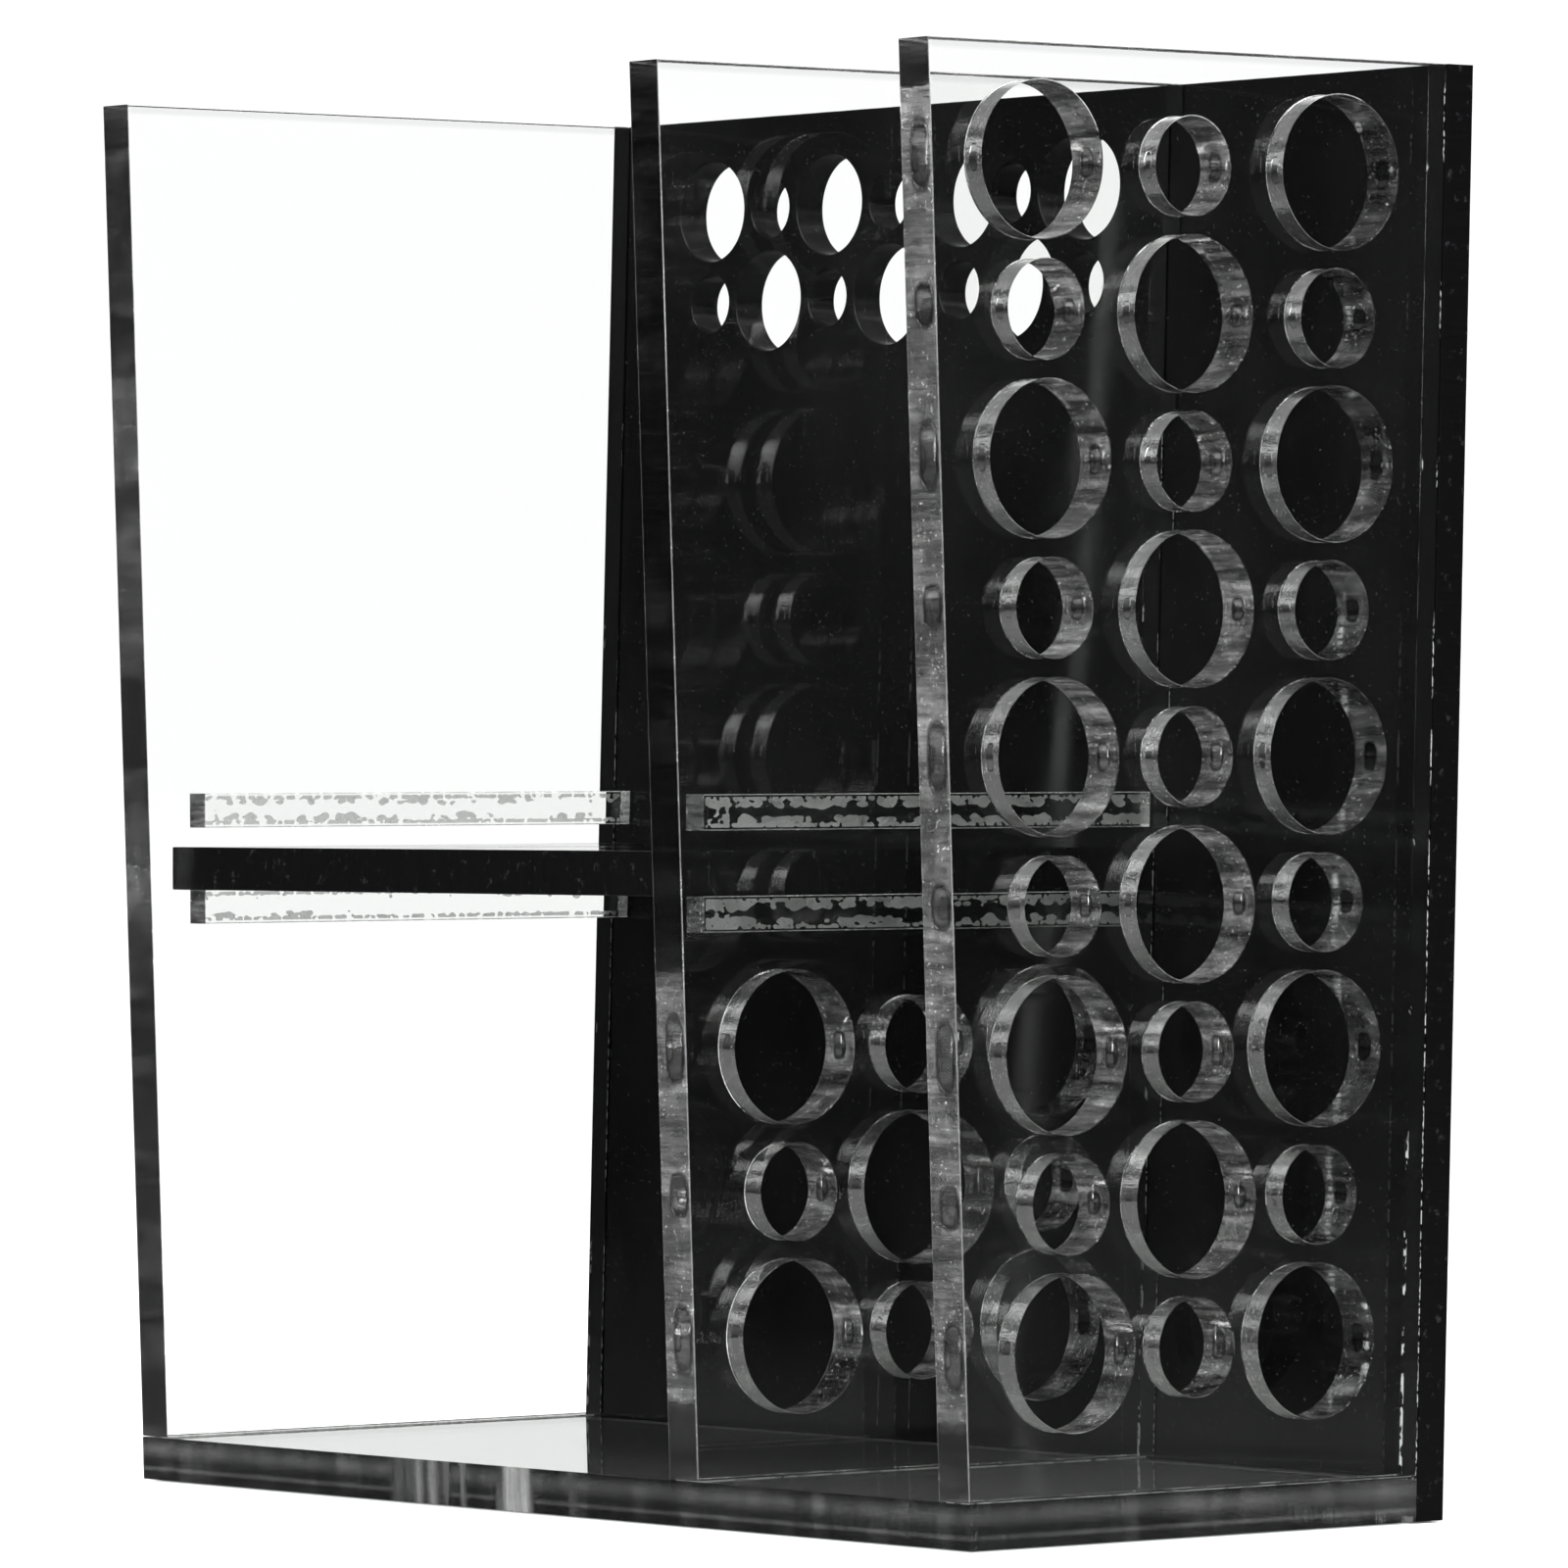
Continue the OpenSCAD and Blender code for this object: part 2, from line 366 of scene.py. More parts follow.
def base_painted_bands_and_streaks(n):
    """Two dull lines along the base's cut edge, painted reflections that stand in for the light bouncing
    between the base's top and bottom faces, and pale streaks through its thickness near the middle of the
    rack."""
    place = n.place()
    up = place["Z"]
    stripe = n.math("MULTIPLY", n.ramp(up, 4.6 * MM, 6.8 * MM), n.ramp(up, 9.6 * MM, 7.6 * MM))
    line = n.math("MULTIPLY", n.ramp(up, 1.9 * MM, 2.5 * MM), n.ramp(up, 3.4 * MM, 2.8 * MM))
    strength = n.ramp(n.noise(150, 2, 0.6, (1, 1, 0.14)), 0.2, 0.7, 0.025, 0.06)
    # Painted reflections: milky bands along the edge in place of the light bouncing between the top and
    # bottom faces.
    painted_bands = n.math("MULTIPLY", n.math("MAXIMUM", stripe, line), strength)
    streaks = n.ramp(n.noise(130, 1, 0.5, (1, 1, 0.02)), 0.5, 0.68, 0.0, 0.3)
    left_half = n.ramp(place["X"], -55 * MM, -40 * MM)
    middle = n.math("MULTIPLY", left_half, n.ramp(place["X"], 16 * MM, 0.0))
    return n.math("MAXIMUM", painted_bands, n.math("MULTIPLY", streaks, middle))


def cut_clear(name, through, tint, milk, roughness, relief, dull=0.22, frosting=None, streaks=None):
    """A laser-cut edge: fine lines run through the thickness, along the axis `through`.
    tint is how much light gets through the cut, dull the share of it that gets through where the
    cut is rough, and relief the depth of the lines. milk and roughness are (least, most).
    frosting(nodes) gives two shares: how frosted the cut is, instead of all over, and how much painted
    shade darkens it. streaks(nodes) gives extra milkiness."""
    material, n = new_material(name)
    along = tuple(0.14 if axis == through else 1.0 for axis in "XYZ")
    lines = n.ramp(n.noise(1000, 2, 0.6, along), 0.34, 0.66)
    bands = n.noise(150, 2, 0.6, along)
    grain = n.noise(1100, 3, 0.75)
    specks = n.ramp(grain, 0.62, 0.68)
    patches = n.ramp(n.noise(80, 3, 0.65), 0.38, 0.62)
    cloud = n.math("MULTIPLY", n.ramp(bands, 0.38, 0.62), patches)
    uneven = n.math("ADD", n.math("MULTIPLY", cloud, 0.6), n.math("MULTIPLY", lines, 0.7))
    white = n.ramp(n.math("ADD", n.math("MULTIPLY", cloud, 0.4), specks), 0.0, 1.2, milk[0], milk[1])
    share = n.ramp(n.math("ADD", uneven, specks), 0.15, 1.2)
    fine = n.math("ADD", n.math("MULTIPLY", lines, 0.4), n.math("MULTIPLY", grain, 0.7))
    height = n.math("ADD", fine, n.math("MULTIPLY", bands, 1.6))
    if frosting:
        where, painted_shade = frosting(n)
        white = n.math("MULTIPLY", white, where)
        share = n.math("MAXIMUM", share, n.math("SUBTRACT", 1.0, where))
        height = n.math("MULTIPLY", height, n.ramp(where, 0.0, 1.0, 0.12, 1.0))
    if streaks:
        white = n.math("ADD", white, streaks(n))
    colour = n.colours(share, tuple(dull * c for c in tint) + (1,), tint + (1,))
    if frosting:
        # Painted shade: the colour turns nearly black in the rings round the clear windows.
        colour = n.colours(painted_shade, colour, grey(0.04))
    bump = n.add("ShaderNodeBump", {"Height": height, "Strength": relief, "Distance": 0.45 * MM})
    shader = n.add("ShaderNodeBsdfPrincipled", {
        "Base Color": colour,
        "Roughness": n.ramp(uneven, 0.1, 1.1, roughness[0], roughness[1]),
        "IOR": ACRYLIC_IOR,
        "Transmission Weight": n.math("SUBTRACT", 1.0, white),
        "Normal": bump.outputs[0],
    })
    surface_output(n, shader, lets_light_through=True)
    return material


def bonded_edge(name, middle, reach, across, bubble_share):
    """An edge that is cemented to the black back, so it shows the back's black from inside the
    clear sheet. Bubbles follow the joint's two borders, at reach from middle along the axis
    `across`: a fine chain on the outer one, and blobs low down on the inner one. bubble_share
    says how white they are."""
    material, n = new_material(name)
    place = n.place()
    off_middle = n.math("SUBTRACT", place[across], middle)
    outer = n.ramp(off_middle, reach - 1.0 * MM, reach - 0.6 * MM)
    inner = n.ramp(off_middle, 1.4 * MM - reach, 0.8 * MM - reach)
    height = place["Z"]
    gate = n.math("ADD", n.noise(40, 2, 0.6), n.ramp(height, 0.04, 0.2, 0.16, 0.0))
    chain = n.math("MULTIPLY", n.ramp(n.noise(850, 0, 0.5), 0.47, 0.55), n.ramp(gate, 0.5, 0.56))
    lower = n.ramp(height, 0.02, 0.12, 0.15, -0.15)
    low_down = n.ramp(n.math("ADD", n.noise(90, 2, 0.6), lower), 0.52, 0.58)
    blobs = n.math("MULTIPLY", n.ramp(n.noise(380, 2, 0.6), 0.5, 0.56), low_down)
    bubbles = n.math("ADD", n.math("MULTIPLY", outer, chain), n.math("MULTIPLY", inner, blobs))
    white = (0.6 * bubble_share, 0.61 * bubble_share, 0.61 * bubble_share, 1)
    shader = n.add("ShaderNodeBsdfPrincipled", {
        "Base Color": n.colours(bubbles, (0.0025, 0.0025, 0.0027, 1), white),
        "Roughness": n.ramp(bubbles, 0.0, 1.0, 0.12, 0.5),
        "IOR": ACRYLIC_IOR,
    })
    surface_output(n, shader)
    return material


def black_face():
    """Black gloss sheet with fine dust, a patchy haze, faint wipe marks and very slight waves."""
    material, n = new_material("black_gloss")
    dust = n.ramp(n.noise(1400, 1, 0.5), 0.7, 0.78)
    haze = n.ramp(n.noise(14, 4, 0.6, (1, 1, 0.6)), 0.42, 0.75)
    wipes = n.ramp(n.noise(240, 2, 0.5, (0.15, 1, 1)), 0.62, 0.75)
    amount = n.math("ADD", dust, n.math("MULTIPLY", haze, 0.14))
    colour = n.colours(amount, (0.0018, 0.0018, 0.0019, 1), (0.035, 0.035, 0.036, 1))
    roughness = n.ramp(n.math("ADD", haze, wipes), 0.0, 2.0, 0.05, 0.2)
    bump = n.add("ShaderNodeBump", {"Height": n.noise(18, 2), "Strength": 0.2, "Distance": 0.3 * MM})
    shader = n.add("ShaderNodeBsdfPrincipled", {
        "Base Color": colour,
        "Roughness": roughness,
        "IOR": ACRYLIC_IOR,
        "Normal": bump.outputs[0],
    })
    surface_output(n, shader)
    return material


def black_cut(through):
    """The black sheet's cut edges: satin, with fine streaks through the thickness."""
    material, n = new_material("black_cut_edge")
    along = tuple(0.09 if axis == through else 1.0 for axis in "XYZ")
    streaks = n.noise(900, 2, 0.6, along)
    scuffs = n.ramp(n.noise(300, 3, 0.7), 0.6, 0.8, 0.0, 0.6)
    colour = n.colours(scuffs, (0.0025, 0.0025, 0.0028, 1), (0.05, 0.05, 0.055, 1))
    bump = n.add("ShaderNodeBump", {"Height": streaks, "Strength": 0.2, "Distance": 0.04 * MM})
    shader = n.add("ShaderNodeBsdfPrincipled", {
        "Base Color": colour,
        "Roughness": n.ramp(streaks, 0.2, 0.8, 0.14, 0.3),
        "IOR": ACRYLIC_IOR,
        "Specular IOR Level": 0.3,
        "Normal": bump.outputs[0],
    })
    surface_output(n, shader)
    return material


def cured_cement():
    """Cured solvent cement: a milky, lumpy film full of tiny bubbles."""
    material, n = new_material("cured_cement")
    bubbles = n.noise(1800, 2, 0.6)
    clouds = n.noise(220, 3, 0.6)
    bump = n.add("ShaderNodeBump", {"Height": bubbles, "Strength": 0.8, "Distance": 0.1 * MM})
    shader = n.add("ShaderNodeBsdfPrincipled", {
        "Base Color": n.colours(bubbles, grey(0.35), grey(0.75)),
        "Roughness": n.ramp(bubbles, 0.3, 0.7, 0.25, 0.6),
        "IOR": 1.45,
        "Transmission Weight": n.ramp(clouds, 0.35, 0.65, 0.97, 0.88),
        "Normal": bump.outputs[0],
    })
    surface_output(n, shader, lets_light_through=True)
    return material


# ---------------------------------------------------------------------------------------------
# Sheets
# ---------------------------------------------------------------------------------------------
# How far a cut edge is rounded over into the face, and the shares of the thickness at which the
# cut wall has rows of points.
EDGE_BREAK = 0.22 * MM
EDGE_RINGS = (0.2, 0.4, 0.6, 0.8)
OUTLINE_SPACING = 1.6 * MM

# The angle over which an edge between two faces is shown sharp
SHARP_ANGLE = math.radians(14)

# Wavelength and depth of the unevenness of a cut wall
SHEET_WAVE = (3.0 * MM, 0.03 * MM)
RAIL_WAVE = (2.2 * MM, 0.035 * MM)
SHELF_WAVE = (6 * MM, 0.03 * MM)

# Depth and half height of the dimple where the laser started to cut a hole, and where it ends
DIMPLE_DEPTH = 0.14 * MM
DIMPLE_HALF = 1.5 * MM
DIMPLE_END = 4 * MM

# The materials of a sheet's mesh, by their number
FACE, EDGE, HOLE, ARRIS, BONDED = range(5)


def ripple(place, size, depth):
    """A smooth unevenness of a cut wall, of the given wavelength and depth."""
    return depth * noise.noise(place / size)


def start_mark(out, radius, share):
    """The shallow dimple at mid-height of a hole's wall, where the laser started and where it
    stopped. out is the wall's direction and share the place through the thickness, 0 to 1."""
    height = out.y * radius
    if abs(height) > DIMPLE_END or radius == 0:
        return 0.0
    middle = max(0.0, 1 - (2 * share - 1) ** 2)
    return -DIMPLE_DEPTH * middle * math.exp(-(height / DIMPLE_HALF) ** 2)


def polygon_loop(corners, spacing):
    """Points spaced along a closed polygon, anticlockwise, each with its outward normal and the
    number of the side that starts there."""
    points = []
    for i, corner in enumerate(corners):
        following = corners[(i + 1) % len(corners)]
        before = corners[i - 1]
        along = (following - corner).normalized()
        came = (corner - before).normalized()
        out = Vector((along.y, -along.x))
        out_before = Vector((came.y, -came.x))
        bisector = (out + out_before) / (1 + out.dot(out_before))
        points.append((corner.copy(), bisector, i))
        count = max(1, round((following - corner).length / spacing))
        for k in range(1, count):
            points.append((corner.lerp(following, k / count), out, i))
    return points


def circle_loop(centre, radius, count):
    """Points round a hole. Their normals point into the hole, out of the sheet."""
    points = []
    for k in range(count):
        angle = 2 * math.pi * k / count
        out = Vector((math.cos(angle), math.sin(angle)))
        points.append((centre + radius * out, -out, 0))
    return points


def loop_radius(points):
    """Radius of a round loop."""
    return (points[0][0] - points[len(points) // 2][0]).length / 2


def add_walls(bm, loops, thickness, place, waviness, sides):
    """The cut walls of each loop, rounded over at both faces. Returns the two faces' rims.
    place(point, depth, kind) is a point's place in the rack, and sides the material of an outline
    side that isn't EDGE. The rounded strips of an EDGE side are ARRIS."""
    near, far = [], []
    steps = [(0.0, EDGE_BREAK), (0.3 * EDGE_BREAK, 0.3 * EDGE_BREAK), (EDGE_BREAK, 0.0)]
    rows = steps + [(s * thickness, 0.0) for s in EDGE_RINGS]
    rows += [(thickness - depth, inset) for depth, inset in reversed(steps)]
    for number, (points, kind) in enumerate(loops):
        radius = loop_radius(points) if kind == "hole" else 0.0
        rings = []
        for row, (depth, inset) in enumerate(rows):
            ring = []
            for point, out, _ in points:
                at = point - inset * out
                spot = place(at, depth, kind)
                if 0 < row < len(rows) - 1:
                    unevenness = waviness(spot, depth, number) + start_mark(out, radius, depth / thickness)
                    spot += (place(at + out, depth, kind) - spot) * unevenness
                ring.append(bm.verts.new(spot))
            rings.append(ring)
        for row, (lower, upper) in enumerate(zip(rings, rings[1:])):
            rounded = row < 2 or row >= len(rings) - 3
            for k in range(len(lower)):
                j = (k + 1) % len(lower)
                quad = (lower[k], lower[j], upper[j], upper[k])
                face = bm.faces.new(quad if kind == "outline" else tuple(reversed(quad)))
                side = sides.get(points[k][2], EDGE)
                if kind == "hole":
                    side = HOLE
                elif rounded and side == EDGE:
                    side = ARRIS
                face.material_index = side
                face.smooth = True
        near.append(rings[0])
        far.append(rings[-1])
    return near, far


def fill_face(bm, rims, drop_axis, facing):
    """Fills a flat face between its rims. The first rim is the outline and the rest are holes.
    facing is 1 or -1, the side of drop_axis that the face looks to."""
    keep = [axis for axis in range(3) if axis != drop_axis]
    verts = [v for rim in rims for v in rim]
    flat = [Vector((v.co[keep[0]], v.co[keep[1]])) for v in verts]
    edges, owner = [], []
    for number, rim in enumerate(rims):
        start, count = len(owner), len(rim)
        edges += [(start + k, start + (k + 1) % count) for k in range(count)]
        owner += [number] * count
    inside_outline = 1
    triangles = delaunay_2d_cdt(flat, edges, [], inside_outline, 1e-9)[2]
    for tri in triangles:
        rims_touched = {owner[i] for i in tri}
        if len(rims_touched) == 1 and 0 not in rims_touched:
            continue
        face = bm.faces.new([verts[i] for i in tri])
        face.normal_update()
        if face.normal[drop_axis] * facing < 0:
            face.normal_flip()
        face.material_index = FACE
        face.smooth = False


def finish_mesh(bm, name, materials):
    """Turns bm into an object with its materials."""
    bmesh.ops.recalc_face_normals(bm, faces=bm.faces)
    mesh = bpy.data.meshes.new(name)
    bm.to_mesh(mesh)
    bm.free()
    for material in materials:
        mesh.materials.append(material)
    mesh.set_sharp_from_angle(angle=SHARP_ANGLE)
    piece = bpy.data.objects.new(name, mesh)
    bpy.context.scene.collection.objects.link(piece)
    return piece


def cut_sheet(name, corners, holes, thickness, place, drop_axis, materials,
              wave=SHEET_WAVE, sides=None):
    """A sheet with an outline, round holes, broken edges and slightly uneven cut walls. holes are
    (centre, radius), drop_axis is the axis across the sheet, and place and sides are as in
    add_walls."""
    size, depth_of_wave = wave

    def waviness(spot, depth, number):
        return ripple(spot + Vector((number, 0, 0)), size, depth_of_wave)

    loops = [(polygon_loop(corners, OUTLINE_SPACING), "outline")]
    for centre, radius in holes:
        # About 11 points to each millimetre of radius, in a multiple of 16
        count = 16 * round(0.7 * radius / MM)
        loops.append((circle_loop(centre, radius, count), "hole"))
    bm = bmesh.new()
    near, far = add_walls(bm, loops, thickness, place, waviness, sides or {})
    fill_face(bm, near, drop_axis, -1)
    fill_face(bm, far, drop_axis, 1)
    return finish_mesh(bm, name, materials)


def upright_corners(box_low, box_high):
    """Side view of an upright clear sheet as (y, z) corners, anticlockwise."""
    short = half_depth(box_high.z) - box_high.y
    low, high = half_depth(box_low.z), half_depth(box_high.z)
    return [
        Vector((-low, box_low.z)),
        Vector((low - short, box_low.z)),
        Vector((high - short, box_high.z)),
        Vector((-high, box_high.z)),
    ]


def upright_sheet(node, holes, materials):
    """A clear upright sheet, glued at its rear edge to the back and at its foot to the base."""
    low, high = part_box(node)

    def place(at, depth, kind):
        return Vector((low.x + depth, at.x, at.y))

    bubble_share = 1.0 if node == "right_side_panel" else 0.25
    bonded = bonded_edge(node + "_bonded", (low.x + high.x) / 2, SHEET_T / 2, "X", bubble_share)
    corners = upright_corners(low, high)
    foot, rear = 0, 1
    piece = cut_sheet(node + "_sheet", corners, holes, high.x - low.x, place, 0,
                      materials + [bonded], sides={foot: HOLE, rear: BONDED})
    return settle(piece, node, "rack")


def settle(piece, node, body):
    """Puts a piece on the body it rides on and hides the CAD node that it stands for."""
    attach(piece, body)
    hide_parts(node)
    return piece


def pot_holes_through(node):
    """Centres (y, z) and radii of the pot holes that pass through a sheet."""
    low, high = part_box(node)
    middle = (low.x + high.x) / 2
    found = []
    for centre, _, radius, length in bores("pot_hole"):
        if abs(middle - centre.x) < length / 2:
            found.append((Vector((centre.y, centre.z)), radius))
    return found


def base_sheet(materials):
    """The base plate, whose front and rear edges follow the slope of the uprights."""
    low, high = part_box("base_plate")
    front = half_depth(0)
    rear = high.y - SLOPE * high.z

    def place(at, depth, kind):
        return Vector((at.x, at.y + SLOPE * depth * (1 if at.y > 0 else -1), low.z + depth))

    corners = [
        Vector((low.x, -front)),
        Vector((high.x, -front)),
        Vector((high.x, rear)),
        Vector((low.x, rear)),
    ]
    bonded = bonded_edge("base_plate_bonded", SHEET_T / 2, SHEET_T / 2, "Z", 0.3)
    rear_side = 2
    piece = cut_sheet("base_plate_sheet", corners, [], high.z - low.z, place, 2,
                      materials + [bonded], sides={rear_side: BONDED})
    return settle(piece, "base_plate", "rack")


def back_sheet(materials):
    """The leaning back: level top and bottom edges, and holes square to its face."""
    low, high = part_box("back_panel")
    thickness = BACK_T_Y * math.cos(LEAN)

    def place(at, depth, kind):
        if kind == "hole":
            across = depth * math.cos(LEAN)
            return Vector((at.x, half_depth(at.y) + across, at.y - depth * math.sin(LEAN)))
        return Vector((at.x, half_depth(at.y) + depth / math.cos(LEAN), at.y))

    corners = [
        Vector((high.x, high.z)),
        Vector((low.x, high.z)),
        Vector((low.x, low.z)),
        Vector((high.x, low.z)),
    ]
    holes = []
    for centre, axis, radius, length in bores("tool_hole"):
        front = centre + axis * length / 2
        holes.append((Vector((front.x, front.z)), radius))
    piece = cut_sheet("back_panel_sheet", corners, holes, thickness, place, 1, materials)
    return settle(piece, "back_panel", "rack")


# ---------------------------------------------------------------------------------------------
# Rails and shelf
# ---------------------------------------------------------------------------------------------
def make_rail(node, materials):
    """A straight rail with sawn ends. Its rear end follows the leaning back."""
    low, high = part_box(node)

    def place(at, depth, kind):
        return Vector((low.x + depth, at.x, at.y))

    corners = [
        Vector((low.y, low.z)),
        Vector((high.y - SLOPE * (high.z - low.z), low.z)),
        Vector((high.y, high.z)),
        Vector((low.y, high.z)),
    ]
    rear_end, front_end = 1, 3
    sawn_ends = {rear_end: HOLE, front_end: HOLE}
    piece = cut_sheet(node + "_bar", corners, [], high.x - low.x, place, 0, materials,
                      RAIL_WAVE, sawn_ends)
    return settle(piece, node, "rack")


def make_shelf(materials):
    """The loose black shelf."""
    low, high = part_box("sliding_shelf")

    def place(at, depth, kind):
        return Vector((at.x, at.y, low.z + depth))

    corners = [
        Vector((low.x, low.y)),
        Vector((high.x, low.y)),
        Vector((high.x, high.y)),
        Vector((low.x, high.y)),
    ]
    piece = cut_sheet("sliding_shelf_plate", corners, [], high.z - low.z, place, 2, materials,
                      SHELF_WAVE)
    return settle(piece, "sliding_shelf", "shelf")


# ---------------------------------------------------------------------------------------------
# Cement films
# ---------------------------------------------------------------------------------------------
def film_field(kind, seed, cover):
    """How much cement there is at (along, across), in metres from the joint's middle line.
    Positive is cement. cover moves the balance: more of it covers more of the joint."""
    shift = Vector((seed * 3.7, seed * 1.3, 0))

    def patches(along, across, length, width):
        """Two rows of rounded blots with thin lines at the borders, and a finely broken start."""
        edge = min(along, length - along, width / 2 - abs(across))
        side = 5 if across > 0 else 0
        row = 1 - ((abs(across) / width - 0.27) / 0.18) ** 2
        blot = noise.noise(Vector((along / (3.0 * MM), across / (3.4 * MM), side)) + shift)
        sparse = noise.noise(Vector((along / (14 * MM), side, 4)) + shift)
        fine = noise.noise(Vector((along / (1.3 * MM), across / (1.0 * MM), 9)) + shift)
        value = 0.7 * row + 1.1 * blot + 0.8 * sparse + 0.25 * fine + cover
        if along < 7 * MM:
            value = max(value, fine + cover + 0.35)
        line = 0.2 + fine - max(0.0, width / 2 - 0.9 * MM - abs(across)) / (0.3 * MM)
        return min(edge / (0.4 * MM), max(value, line))

    def dashes(along, across, length, width):
        """Two broken lines near the joint's borders, of uneven width."""
        edge = min(along, length - along, width / 2 - abs(across))
        offset = 0.18 * width * noise.noise(Vector((along / (30 * MM), 3, seed)))
        run = noise.noise(Vector((along / (5.5 * MM), 0, seed))) + 0.1 + cover
        thick = 0.12 * width * (1 + noise.noise(Vector((along / (1.6 * MM), 5, seed))))
        upper_line = thick - abs(across - offset - 0.28 * width)
        lower_line = thick - abs(across - offset + 0.3 * width)
        near = max(upper_line, lower_line)
        return min(edge / (0.5 * MM), run * 3, near / (0.3 * MM))

    return {"patches": patches, "dashes": dashes}[kind]


# The shares of a joint's gap at which a film's two faces lie
FILM_BOTTOM, FILM_TOP = 0.15, 0.85

# How near a film's outline comes to a corner of a cell, as shares of the cell's side
NEAREST, FURTHEST = 0.05, 0.95


def make_film(node, kind, seed, along_axis, across_axis, cell, material, cover=0.0):
    """A broken film of cement in the joint that its CAD node fills. The noise field is worked out
    at the corners of a grid of cells, and the film's outline runs where it passes zero. The films
    on the leaning back follow it."""
    low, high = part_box(node)
    thin_axis = 3 - along_axis - across_axis
    length = high[along_axis] - low[along_axis]
    width = high[across_axis] - low[across_axis]
    field = film_field(kind, seed, cover)
    columns, rows = round(length / cell), max(6, round(width / cell))
    steps = (length / columns, width / rows)
    values = {
        (i, j): field(i * steps[0], j * steps[1] - width / 2, length, width)
        for i in range(columns + 1)
        for j in range(rows + 1)
    }

    def spot(i, j, share):
        place = Vector((0, 0, 0))
        place[along_axis] = low[along_axis] + i * steps[0]
        place[across_axis] = low[across_axis] + j * steps[1]
        if thin_axis == 1:
            place.y = half_depth(place.z) - JOINT_GAP * (1 - share)
        else:
            place[thin_axis] = low[thin_axis] + JOINT_GAP * share
        return place

    bm = bmesh.new()
    made = {}

    def vert(key, i, j, share):
        if (key, share) not in made:
            made[key, share] = bm.verts.new(spot(i, j, share))
        return made[key, share]

    boundary = {}
    for i in range(columns):
        for j in range(rows):
            ring = [(i, j), (i + 1, j), (i + 1, j + 1), (i, j + 1)]
            outline = []
            for k, a in enumerate(ring):
                b = ring[(k + 1) % 4]
                if values[a] > 0:
                    outline.append((a, a[0], a[1]))
                if (values[a] > 0) != (values[b] > 0):
                    t = values[a] / (values[a] - values[b])
                    t = min(FURTHEST, max(NEAREST, t))
                    key = (min(a, b), max(a, b))
                    outline.append((key, a[0] + t * (b[0] - a[0]), a[1] + t * (b[1] - a[1])))
            if len(outline) < 3:
                continue
            bottom = [vert(key, x, y, FILM_BOTTOM) for key, x, y in outline]
            top = [vert(key, x, y, FILM_TOP) for key, x, y in outline]
            bm.faces.new(tuple(reversed(bottom)))
            bm.faces.new(top)
            for k in range(len(outline)):
                pair = frozenset((outline[k][0], outline[(k + 1) % len(outline)][0]))
                if pair in boundary:
                    boundary[pair] = None
                else:
                    m = (k + 1) % len(outline)
                    boundary[pair] = (bottom[k], bottom[m], top[m], top[k])
    for quad in boundary.values():
        if quad is not None:
            bm.faces.new(quad)
    piece = finish_mesh(bm, node.replace("_seam", "_cement"), [material])
    return settle(piece, node, "rack")


# ---------------------------------------------------------------------------------------------
# The rack
# ---------------------------------------------------------------------------------------------
# How much of the light gets through a cut edge and through a hole's wall, as red, green and blue
EDGE_TINT = (0.9, 0.905, 0.9)
HOLE_TINT = (0.86, 0.865, 0.86)

# The milkiness and roughness of a hole's wall, each (least, most), and the depth of its lines
HOLE_CUT = {"milk": (0.02, 0.34), "roughness": (0.01, 0.08), "relief": 0.14}

# How frosted the divider's and the right panel's edges are under the holes
FOOT_FROSTING = 0.14

RAILS = ("left_lower", "left_upper", "divider_lower", "divider_upper")

# How much of each rail's joint the cement covers: higher covers more
RAIL_COVERS = (-1.2, -0.8, -0.5, -0.55)

# The cells of the grid that a film is worked out on
FINE_CELL = 0.35 * MM
COARSE_CELL = 0.5 * MM


def make_left_panel(face, arris):
    """The panel without holes. Its cut edge is clear but for three soft grey bands."""
    bands = ((246 * MM, 13 * MM, 0.6), (208 * MM, 20 * MM, 0.35), (144 * MM, 16 * MM, 0.5))

    def edge_frosting(n):
        return frosted_bands(n, bands), 0.0

    edge_cut = cut_clear("cut_edge_left", "X", EDGE_TINT, (0.08, 0.5), (0.02, 0.2), 0.5,
                         dull=0.6, frosting=edge_frosting)
    foot_cut = cut_clear("cut_hole_side", "X", HOLE_TINT, **HOLE_CUT)
    upright_sheet("left_side_panel", [], [face, edge_cut, foot_cut, arris])


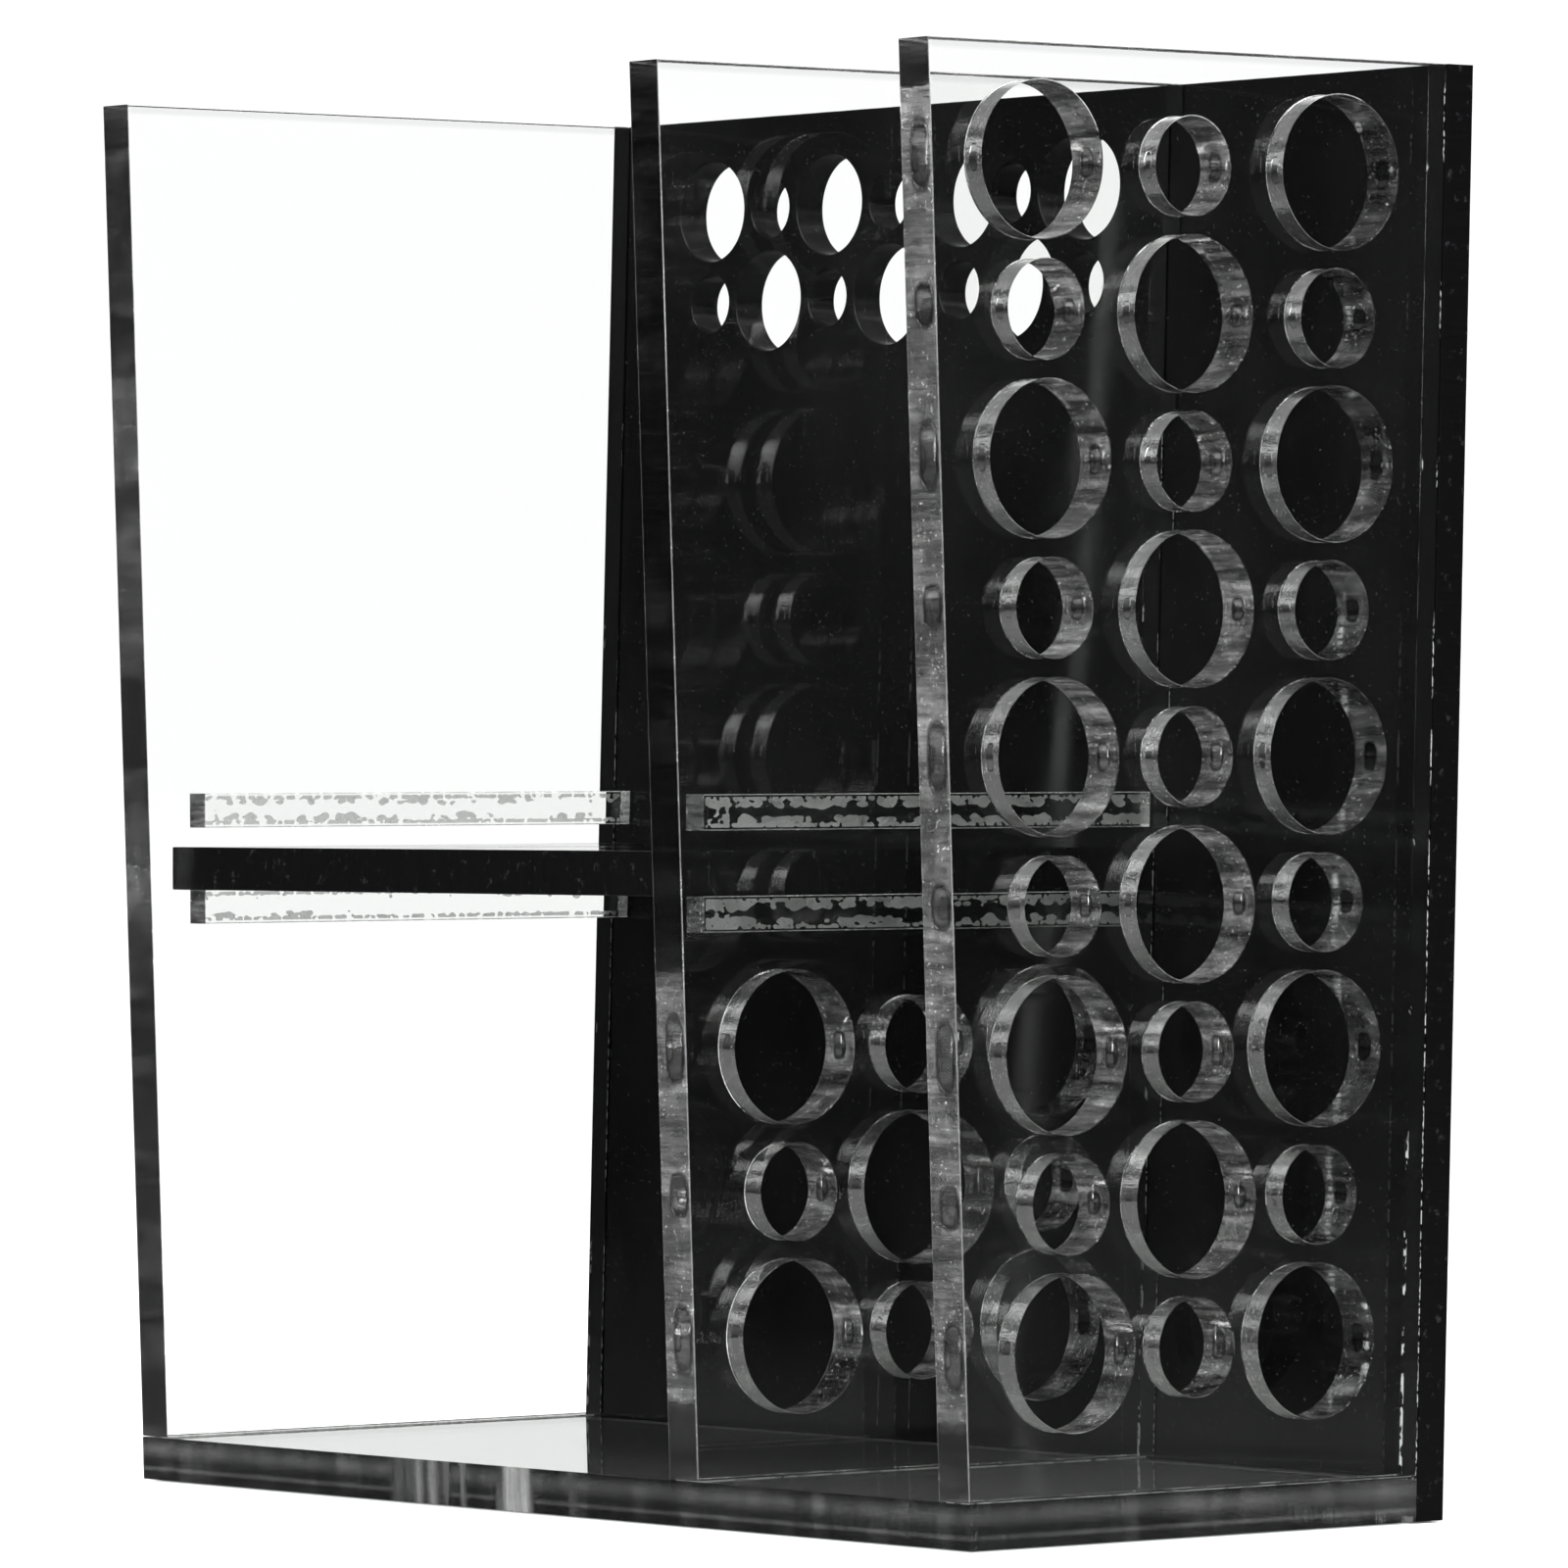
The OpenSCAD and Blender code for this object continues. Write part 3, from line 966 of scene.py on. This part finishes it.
def make_holed_panel(node, face, arris, least_frosting):
    """A sheet with pot holes. Its cut edge is frosted beside the holes, with a clear window in a ring of
    painted shade at each row, and the walls of the holes have small ones at mid-height."""
    holes = pot_holes_through(node)
    low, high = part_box(node)
    middle = (low.x + high.x) / 2
    bottom = min(centre.y - radius for centre, radius in holes)
    top = max(centre.y + radius for centre, radius in holes)

    def edge_frosting(n):
        clear, ring = hole_windows(n, middle + 1.2 * MM, 2.9 * MM, 7.0 * MM, 4.4 * MM)
        height = n.place()["Z"]
        least = n.ramp(height, bottom + 3 * MM, bottom + 5 * MM, FOOT_FROSTING, least_frosting)
        between = frosted_between(n, bottom + 4.5 * MM, top - 1 * MM)
        frosted = n.math("MULTIPLY", between, n.math("SUBTRACT", 1.0, clear))
        # Painted shade in a ring round each clear window of the edge.
        painted_shade = n.math("MULTIPLY", n.math("MULTIPLY", between, ring), 0.75)
        return n.math("MAXIMUM", frosted, least), painted_shade

    def hole_frosting(n):
        clear, ring = hole_windows(n, middle, 1.9 * MM, 2.9 * MM, 2.3 * MM)
        # The ring is painted shade round each clear window of the hole's wall.
        return n.math("SUBTRACT", 1.0, clear), n.math("MULTIPLY", ring, 0.9)

    edge_cut = cut_clear(f"cut_edge_{node}", "X", EDGE_TINT, (0.06, 0.4), (0.02, 0.2), 0.5,
                         dull=0.35, frosting=edge_frosting)
    hole_cut = cut_clear(f"cut_hole_{node}", "X", HOLE_TINT, frosting=hole_frosting, **HOLE_CUT)
    upright_sheet(node, holes, [face, edge_cut, hole_cut, arris])


def make_rails(face, arris):
    """The four rails, which share their materials."""
    end_cut = cut_clear("sawn_rail_end", "X", HOLE_TINT, (0.12, 0.4), (0.1, 0.3), 0.4)
    rail_cut = cut_clear("cut_edge_rail", "X", EDGE_TINT, (0.02, 0.15), (0.02, 0.1), 0.2)
    for rail in RAILS:
        make_rail(f"{rail}_rail", [face, rail_cut, end_cut, arris])


def make_films():
    """The films of cement. Each has a seed of its own."""
    cement = cured_cement()
    for seed, (rail, cover) in enumerate(zip(RAILS, RAIL_COVERS), start=1):
        make_film(f"{rail}_rail_seam", "patches", seed, 1, 2, FINE_CELL, cement, cover)
    for seed, side in enumerate(("left", "divider", "right")):
        make_film(f"{side}_back_seam", "dashes", 11 + seed, 2, 0, COARSE_CELL, cement)
        make_film(f"{side}_base_seam", "dashes", 21 + seed, 1, 0, COARSE_CELL, cement)
    make_film("base_back_seam", "dashes", 31, 0, 2, COARSE_CELL, cement)


def build_rack():
    """Every piece of the rack. The lists give each sheet's face, edge, hole and arris materials."""
    face = polished_clear()
    arris = cut_clear("scraped_arris", "X", EDGE_TINT, (0.16, 0.4), (0.1, 0.3), 0.1, dull=0.8)
    make_left_panel(face, arris)
    make_holed_panel("middle_divider", face, arris, least_frosting=0.02)
    make_holed_panel("right_side_panel", face, arris, least_frosting=0.1)
    base_cut = cut_clear("cut_edge_base", "Z", EDGE_TINT, (0.0, 0.05), (0.02, 0.12), 0.2,
                         dull=0.7, streaks=base_painted_bands_and_streaks)
    base_sheet([face, base_cut, base_cut, base_cut])
    black = black_face()
    back_cut = black_cut("Y")
    back_sheet([black, back_cut, back_cut, back_cut])
    make_rails(face, arris)
    shelf_cut = black_cut("Z")
    make_shelf([black, shelf_cut, shelf_cut, shelf_cut])
    make_films()


bpy.context.scene.view_settings.view_transform = "Standard"
make_camera()
make_world()
make_floor()
make_lights()
build_rack()
